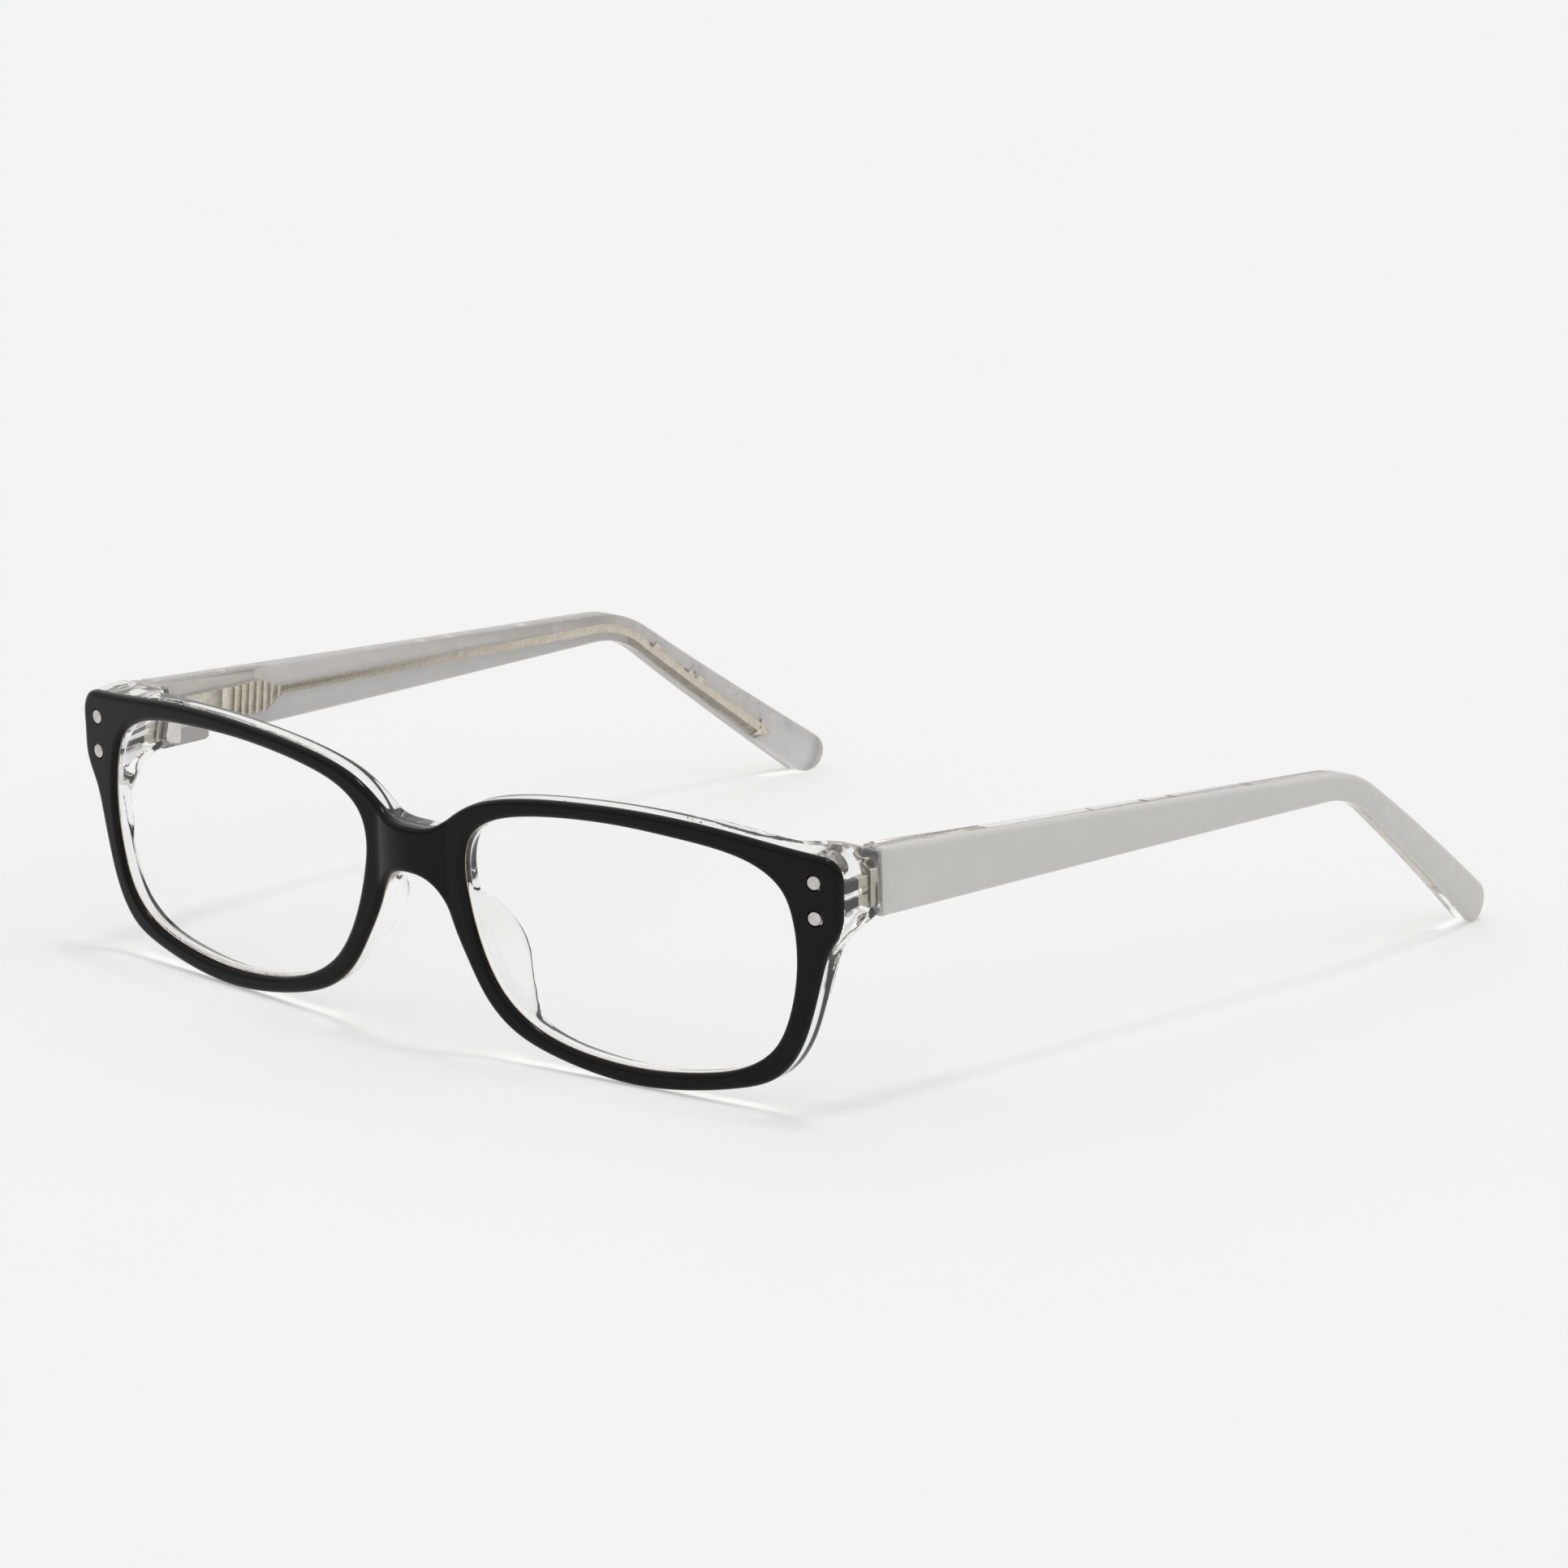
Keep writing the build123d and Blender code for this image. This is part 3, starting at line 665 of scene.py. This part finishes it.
def fitted(places):
    """Moves the points of the rim's walls and back onto their exact curves, with the back edges rounded."""
    u, v, w = upright(places)
    depth = depth_in(u, w)
    fine_opening = through(LENS_OPENING, FINE_STEP, closed=True)
    lines = [through(FRONT_HALF + mirror_half, FINE_STEP, closed=True), fine_opening, fine_opening * (-1, 1)]
    lines = [facing(line, k == 0) for k, line in enumerate(lines)]
    lefts = np.vstack([leftward(line) for line in lines])
    lines = np.vstack(lines)
    tree = KDTree(len(lines))
    for k, (x, y) in enumerate(lines):
        tree.insert((x, y, 0), k)
    tree.balance()
    near = np.array([tree.find((x, y, 0))[1] for x, y in zip(u, v)])
    left = lefts[near]
    inward = np.einsum("ij,ij->i", np.column_stack([u, v]) - lines[near], left)
    pad = near_pad(u, v)
    lug = smoothstep(np.abs(u), *LUG_U) * smoothstep(v, *LUG_V)
    plain = 1 - np.maximum(lug, pad)
    over_side = np.clip(BACK_ROUNDING - inward, 0, None)
    over_back = np.clip(BACK_ROUNDING - (FRONT_DEPTH - depth), 0, None)
    corner = np.hypot(over_side, over_back)
    off = BACK_ROUNDING - corner
    step_side = np.where(corner > 0, over_side / np.maximum(corner, 1e-9), 0)
    step_back = np.where(corner > 0, over_back / np.maximum(corner, 1e-9), 0)
    past_black = smoothstep(depth, *PAST_BLACK)
    share = plain * past_black * (1 - smoothstep(np.abs(off), *LET_GO))
    # beside the pads and on the end pieces only the walls of the rim are exact
    is_wall = (1 - smoothstep(np.abs(inward), 0.1, 0.4)) * (1 - smoothstep(depth, 6, 9))
    side_share = (1 - plain) * past_black * is_wall * (1 - pad * smoothstep(depth, 3, 3.8))
    slide = -off * step_side * share - inward * side_share
    sink = off * step_back * share
    u, v = u + left[:, 0] * slide, v + left[:, 1] * slide
    out = FRONT_RADIUS - depth - sink
    w = FRONT_RADIUS - np.sqrt(np.clip(out**2 - u**2, 0, None))
    return leaning(u, v, w)


filler_grid = grid([outline, *openings], 2.5)
filler = plate(
    "filler", [outline, *openings], [(0, depth) for depth in FILLER_DEPTH], on_front,
    inner=(filler_grid, filler_grid),
)
cores = [cuboid(f"core_{side}", low, high, side) for side in (1, -1) for low, high in LUG_CORES]
clear_nodes = ["front_clear_layer", "nose_pad_left", "nose_pad_right"]
cad_clear = [frame["nodes"][node] for node in clear_nodes]
clear = merged("clear_front", [filler, *cores, *cad_clear], keep=cad_clear)
remesh = clear.modifiers.new("remesh", "REMESH")
remesh.mode = "VOXEL"
remesh.voxel_size = VOXEL * MM
applied(clear)
places = np.empty(len(clear.data.vertices) * 3)
clear.data.vertices.foreach_get("co", places)
places = places.reshape(-1, 3)
edges = np.empty(len(clear.data.edges) * 2, int)
clear.data.edges.foreach_get("vertices", edges)
edges = edges.reshape(-1, 2)
u, v, w = upright(places)
depth = depth_in(u, w)
behind = smoothstep(depth, 1.7, 2.6)
in_pad = near_pad(u, v, -1, 1) * smoothstep(depth, 4.1, 5.5)
places = relaxed(places, edges, 4, 0.5 * smoothstep(depth, 1.1, 1.6))
for _ in range(PLAIN_ROUNDS):       # shrinking and growing by turns smooths without loss of size
    places = relaxed(places, edges, 1, SHRINK * behind)
    places = relaxed(places, edges, 1, GROW * behind)
places = relaxed(places, edges, 6, SHRINK * behind)
places = relaxed(places, edges, PAD_ROUNDS, SHRINK * in_pad)
for _ in range(4):
    places = fitted(relaxed(places, edges, 3, 0.5 * behind))
u, v, w = upright(places)
splay = PAD_SPLAY * np.clip(w - PAD_ROOT_W, 0, None) * in_pad
places = leaning(u + np.sign(u) * splay, v, w)
clear.data.vertices.foreach_set("co", places.ravel())
clear.data.polygons.foreach_set("use_smooth", [True] * len(clear.data.polygons))
clear.data.update()
finish_piece(clear, "front", clear_nodes, [CLEAR])


# --- lenses -------------------------------------------------------------------------------------------
LENS_FRONT, LENS_BACK = 1.75, 2.95
LENS_GAP = 0.06             # between the edge of a lens and the rim
LENS_EDGE = 0.12

lens_edge = facing(opening + leftward(opening) * -LENS_GAP, True)
lens_stations = round_over(LENS_EDGE, LENS_EDGE, LENS_FRONT, steps=3)
lens_stations += round_over(LENS_EDGE, LENS_EDGE, LENS_BACK, outward=True, steps=3)
lens_grid = grid([lens_edge], 2.0)
lens = plate("lens_disc_right", [lens_edge], lens_stations, on_front, inner=(lens_grid, lens_grid))
finish_piece(lens, "front", ["lens_right"], [LENS])
lens_twin = mirrored(lens, "lens_disc_left")
finish_piece(lens_twin, "front", ["lens_left"], [])


# --- rivets -------------------------------------------------------------------------------------------
def lathe(name, profile, centre, axis, count=40):
    """A solid of revolution from (radius, distance along the axis) stations, closed at both ends."""
    axis = axis / np.linalg.norm(axis)
    side = np.cross(axis, (0, 0, 1.0))
    side /= np.linalg.norm(side)
    other = np.cross(axis, side)
    angles = np.linspace(0, 2 * math.pi, count, endpoint=False)
    verts = [centre + MM * profile[0][1] * axis]
    for radius, along in profile[1:-1]:
        for angle in angles:
            spoke = math.cos(angle) * side + math.sin(angle) * other
            verts.append(centre + MM * (radius * spoke + along * axis))
    verts.append(centre + MM * profile[-1][1] * axis)
    faces = []
    last = len(verts) - 1
    rows = len(profile) - 2
    for i in range(count):
        j = (i + 1) % count
        faces.append((0, 1 + i, 1 + j))
        faces.append((last, 1 + (rows - 1) * count + j, 1 + (rows - 1) * count + i))
        for row in range(rows - 1):
            a, b = 1 + row * count, 1 + (row + 1) * count
            faces.append((a + i, b + i, b + j, a + j))
    return solid(name, verts, faces)


RIVET_PROFILE = [           # radius and distance inward: a domed head with a dimple ring, and its shank
    (0, -0.17), (0.3, -0.165), (0.58, -0.14), (0.7, -0.11), (0.76, -0.135), (0.84, -0.14), (0.92, -0.09),
    (0.955, 0.02), (0.955, 1.2), (0.62, 1.25), (0.62, 5.9), (0.55, 6.1), (0, 6.1),
]
for side, label in ((1, "right"), (-1, "left")):
    heads = []
    for v in RIVET_V:
        u = side * RIVET_U
        centre = leaning(np.array([u]), np.array([v]), front_w(np.array([u]), 0.0))[0]
        heads.append(lathe("head", RIVET_PROFILE, centre, FRONT_RADIUS * BACK - u * ACROSS))
    rivets = merged(f"rivets_{label}", heads)
    rivets.data.polygons.foreach_set("use_smooth", [True] * len(rivets.data.polygons))
    finish_piece(rivets, "front", [f"front_rivets_{label}"], [STEEL])


# --- hinges: CAD shapes with their edges broken ---------------------------------------------------------
CREASE = math.radians(40)


def bevelled(piece, width):
    """Rounds a piece's sharp edges by a width in millimetres."""
    bevel = piece.modifiers.new("bevel", "BEVEL")
    bevel.width = width * MM
    bevel.segments = 2
    bevel.limit_method = "ANGLE"
    bevel.angle_limit = math.radians(35)
    applied(piece)
    piece.data.shade_smooth()
    piece.data.set_sharp_from_angle(angle=CREASE)
    return piece


def softened(node, name, width):
    """A copy of a CAD solid whose sharp edges are rounded by a small amount."""
    mesh = frame["nodes"][node].data.copy()
    mesh.materials.clear()
    shape = bmesh.new()
    shape.from_mesh(mesh)
    bmesh.ops.remove_doubles(shape, verts=shape.verts, dist=1e-6)
    bmesh.ops.dissolve_limit(shape, angle_limit=math.radians(1.5), verts=shape.verts, edges=shape.edges)
    shape.to_mesh(mesh)
    shape.free()
    piece = bpy.data.objects.new(name, mesh)
    bpy.context.scene.collection.objects.link(piece)
    return bevelled(piece, width)


ANCHOR_END_W = 14.3         # the anchors lie in front of this, then the leaf
BURIED_W = 18.7             # the leaf is buried up to here, and the knuckles stand free behind it
ROOT_LOW, ROOT_HIGH = (60.3, 25.65, 16.3), (63.45, 31.55, 17.45)
LEAF_MIDDLE, LEAF_SHARE = 32.9, 0.86     # the buried part is shorter than the knuckles


def front_leaf(label, side):
    """The front half of a hinge: knuckles, leaf and two anchors, with the leaf's stepped root."""
    leaf = softened(f"hinge_front_{label}", "leaf", 0.12)
    root = bevelled(cuboid("root", ROOT_LOW, ROOT_HIGH, side), 0.2)
    whole = merged(f"hinge_front_soft_{label}", [leaf, root])
    shape = bmesh.new()
    shape.from_mesh(whole.data)
    for vert in shape.verts:
        offset = np.array(vert.co) - FOOT
        if offset @ BACK < BURIED_W * MM:
            vert.co += Vector((1 - LEAF_SHARE) * (LEAF_MIDDLE * MM - offset @ UP) * UP)
    cut_at = FOOT + MM * ANCHOR_END_W * BACK
    bmesh.ops.bisect_plane(
        shape, geom=shape.verts[:] + shape.edges[:] + shape.faces[:], plane_co=cut_at, plane_no=BACK,
    )
    for face in shape.faces:
        face.smooth = True
        beyond = (np.array(face.calc_center_median()) - cut_at) @ BACK / MM
        # material 1, on the anchors, is near-black painted shade; material 2, on the knuckles, is a lighter
        # copy of the nickel as painted light
        face.material_index = 1 if beyond < 0 else 2 if beyond > BURIED_W - ANCHOR_END_W else 0
    shape.to_mesh(whole.data)
    shape.free()
    whole.data.set_sharp_from_angle(angle=CREASE)
    finish_piece(whole, "front", [f"hinge_front_{label}"], [NICKEL, ANCHOR_PAINTED_SHADE, KNUCKLE_PAINTED_LIGHT])


for label, side in (("right", 1), ("left", -1)):
    front_leaf(label, side)
    sliding, temple = f"hinge_slider_{label}_body", f"temple_{label}"
    for node, body, finish, slot, width in (
        ("hinge_screw", "front", SCREW, "screw_steel", 0.08),
        # the slider takes the lighter copy of the nickel, as painted light
        ("hinge_slider", sliding, KNUCKLE_PAINTED_LIGHT, "hinge_nickel_silver", 0.1),
        ("spring_box", temple, GOLD, "spring_box_gold", 0.12),
        ("core_wire", temple, WIRE, "core_wire_gold", 0.1),
    ):
        soft = softened(f"{node}_{label}", f"{node}_soft_{label}", width)
        finish_piece(soft, body, [f"{node}_{label}"], [finish])
    spring = softened(f"hinge_spring_{label}", f"hinge_spring_soft_{label}", 0.02)
    finish_piece(spring, temple, [f"hinge_spring_{label}"], [SPRING])
    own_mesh(spring)


# --- temples ------------------------------------------------------------------------------------------
NOTCH_LOW, NOTCH_HIGH = (57.0, 24.5, 18.0), (61.42, 34.5, 21.5)     # room for the knuckles
SQUARE_SHARE = 0.15         # how much of its rounding an edge has near the hinge
# each layer's rounding (inset and depth), and the stretch along which it grows to that
WHITE_EDGE, WHITE_SOFTER = (0.9, 0.7), (15.5, 18.5)
CLEAR_EDGE, CLEAR_SOFTER = (1.1, 1.0), (24.0, 38.0)
FRONT_CORNER = 0.5
TEMPLE_STEP = 0.5
TEMPLE_GRID = 1.6

plan_line = through(TEMPLE_PLAN, TEMPLE_STEP)


def on_temple(points, depths):
    """Points of the right temple's side view at a depth below its outer face, in metres."""
    x = np.interp(points[:, 0], *plan_line.T) - depths
    return MM * np.column_stack([x, points[:, 0], points[:, 1]]) + (0, FOOT[1], 0)


def temple_sheet(name, stations, softer, back_kind=0):
    """One layer of a temple, whose edges turn from nearly square to rounded along the softer stretch."""
    ends = []
    for v in TEMPLE_FRONT_V:
        place = leaning(np.array([0.0]), np.array([v]), np.array([TEMPLE_FRONT_W]))[0]
        ends.append(((place[1] - FOOT[1]) / MM, place[2] / MM))
    corners = [(ends[0], FRONT_CORNER), *TEMPLE_CORNERS, (ends[1], FRONT_CORNER)]
    edge = facing(rounded(corners, TEMPLE_STEP), True)
    share = SQUARE_SHARE + (1 - SQUARE_SHARE) * smoothstep(edge[:, 0], *softer)
    faces = [
        grid([edge + leftward(edge) * (inset * share)[:, None]], TEMPLE_GRID)
        for inset, _ in (stations[0], stations[-1])
    ]
    return plate(name, [edge], stations, on_temple, inner=faces, shrink=[share], back_kind=back_kind)


white_stations = round_over(*WHITE_EDGE, steps=8) + [(0, WHITE_DEPTH + OVERLAP)]
clear_stations = [(0, WHITE_DEPTH)] + round_over(*CLEAR_EDGE, TEMPLE_THICKNESS, outward=True, steps=9)
# the back face of the white sheet takes the lighter copy of the white, as painted light
white = temple_sheet("temple_white_right", white_stations, WHITE_SOFTER, back_kind=1)
finish_piece(white, "temple_right", ["temple_white_layer_right"], [WHITE, WHITE_BONDED_PAINTED_LIGHT])
white_twin = mirrored(white, "temple_white_left")
finish_piece(white_twin, "temple_left", ["temple_white_layer_left"], [])

temple_clear = temple_sheet("temple_clear_right", clear_stations, CLEAR_SOFTER)
notch = cuboid("notch", NOTCH_LOW, NOTCH_HIGH)
cut = temple_clear.modifiers.new("notch", "BOOLEAN")
cut.operation = "DIFFERENCE"
cut.object = notch
cut.solver = "EXACT"
applied(temple_clear)
bpy.data.objects.remove(notch)
temple_clear.data.shade_smooth()
temple_clear.data.set_sharp_from_angle(angle=math.radians(50))
finish_piece(temple_clear, "temple_right", ["temple_clear_layer_right"], [CLEAR_TEMPLE])
temple_clear_twin = mirrored(temple_clear, "temple_clear_left")
finish_piece(temple_clear_twin, "temple_left", ["temple_clear_layer_left"], [])


# --- floor, light and camera --------------------------------------------------------------------------
FLOOR_REACH = 8.0
FLOOR_SHADE, FLOOR_GLOW = 0.55, 0.32
SKY = ((0.0, 0.55), (0.34, 0.66), (0.62, 0.92), (1.0, 0.96))   # grey level from the horizon to overhead
SKY_TILT = (0.0, 0.25, 1.0)
OVERHEAD_STRENGTH, OVERHEAD_WIDTH = 0.5, 9.0
OVERHEAD_TILT = (math.radians(-6), math.radians(3), 0)
AZIMUTH, ELEVATION, ROLL = 0.6625, 0.2394, 0.0395
CAMERA_PLACE = (0.9371, -1.2021, 0.394)
FOCAL_LENGTH = 260.87


def backdrop():
    """A seamless pale floor with the slightest mottling."""
    mesh = bpy.data.meshes.new("floor")
    corners = [(x * FLOOR_REACH, y * FLOOR_REACH, 0) for x, y in ((-1, -1), (1, -1), (1, 1), (-1, 1))]
    mesh.from_pydata(corners, [], [(0, 1, 2, 3)])
    floor = bpy.data.objects.new("floor", mesh)
    bpy.context.scene.collection.objects.link(floor)
    finish = Finish(
        "floor_finish", Specular_IOR_Level=0.0, Emission_Color=(1, 1, 1, 1), Emission_Strength=FLOOR_GLOW,
    )
    low, high = ((FLOOR_SHADE + step,) * 3 for step in (-0.002, 0.002))
    finish.colour(finish.ramp(finish.noise(60, 2), (0.3, low), (0.7, high)))
    finish.rough(finish.spread(finish.noise(5), 0.85, 0.95))
    mesh.materials.append(finish.material)


def light():
    """An even studio dome, dimmer near the horizon in front of the object, with one overhead source."""
    world = bpy.data.worlds.new("studio")
    world.use_nodes = True
    tree = world.node_tree
    background = tree.nodes["Background"]
    coordinates = tree.nodes.new("ShaderNodeTexCoord")
    dot = tree.nodes.new("ShaderNodeVectorMath")
    dot.operation = "DOT_PRODUCT"
    dot.inputs[1].default_value = Vector(SKY_TILT).normalized()
    tree.links.new(coordinates.outputs["Generated"], dot.inputs[0])
    span = tree.nodes.new("ShaderNodeMapRange")
    span.inputs["From Min"].default_value = -0.25
    tree.links.new(dot.outputs["Value"], span.inputs["Value"])
    ramp = tree.nodes.new("ShaderNodeValToRGB")
    ramp.color_ramp.interpolation = "EASE"
    while len(ramp.color_ramp.elements) < len(SKY):
        ramp.color_ramp.elements.new(0.5)
    for element, (position, grey) in zip(ramp.color_ramp.elements, SKY):
        element.position = position
        element.color = (grey, grey, grey, 1)
    tree.links.new(span.outputs["Result"], ramp.inputs["Fac"])
    tree.links.new(ramp.outputs["Color"], background.inputs["Color"])
    bpy.context.scene.world = world
    sun = bpy.data.lights.new("overhead", "SUN")
    sun.energy = OVERHEAD_STRENGTH
    sun.angle = math.radians(OVERHEAD_WIDTH)
    lamp = bpy.data.objects.new("overhead", sun)
    lamp.rotation_euler = OVERHEAD_TILT
    bpy.context.scene.collection.objects.link(lamp)


def look():
    """The camera: far ahead, towards the right temple's side, and a little above the object."""
    camera = bpy.data.cameras.new("camera")
    camera.sensor_width = 36
    camera.lens = FOCAL_LENGTH
    camera.clip_start, camera.clip_end = 0.01, 100
    level_share = math.cos(ELEVATION)
    back = Vector((math.sin(AZIMUTH) * level_share, -math.cos(AZIMUTH) * level_share, math.sin(ELEVATION)))
    level = Vector((math.cos(AZIMUTH), math.sin(AZIMUTH), 0))
    above = back.cross(level)
    right = math.cos(ROLL) * level + math.sin(ROLL) * above
    up = -math.sin(ROLL) * level + math.cos(ROLL) * above
    eye = bpy.data.objects.new("camera", camera)
    turned = Matrix((right, up, back)).transposed().to_4x4()
    eye.matrix_world = Matrix.Translation(CAMERA_PLACE) @ turned
    bpy.context.scene.collection.objects.link(eye)
    bpy.context.scene.camera = eye


backdrop()
light()
look()
bpy.context.scene.view_settings.view_transform = "Standard"
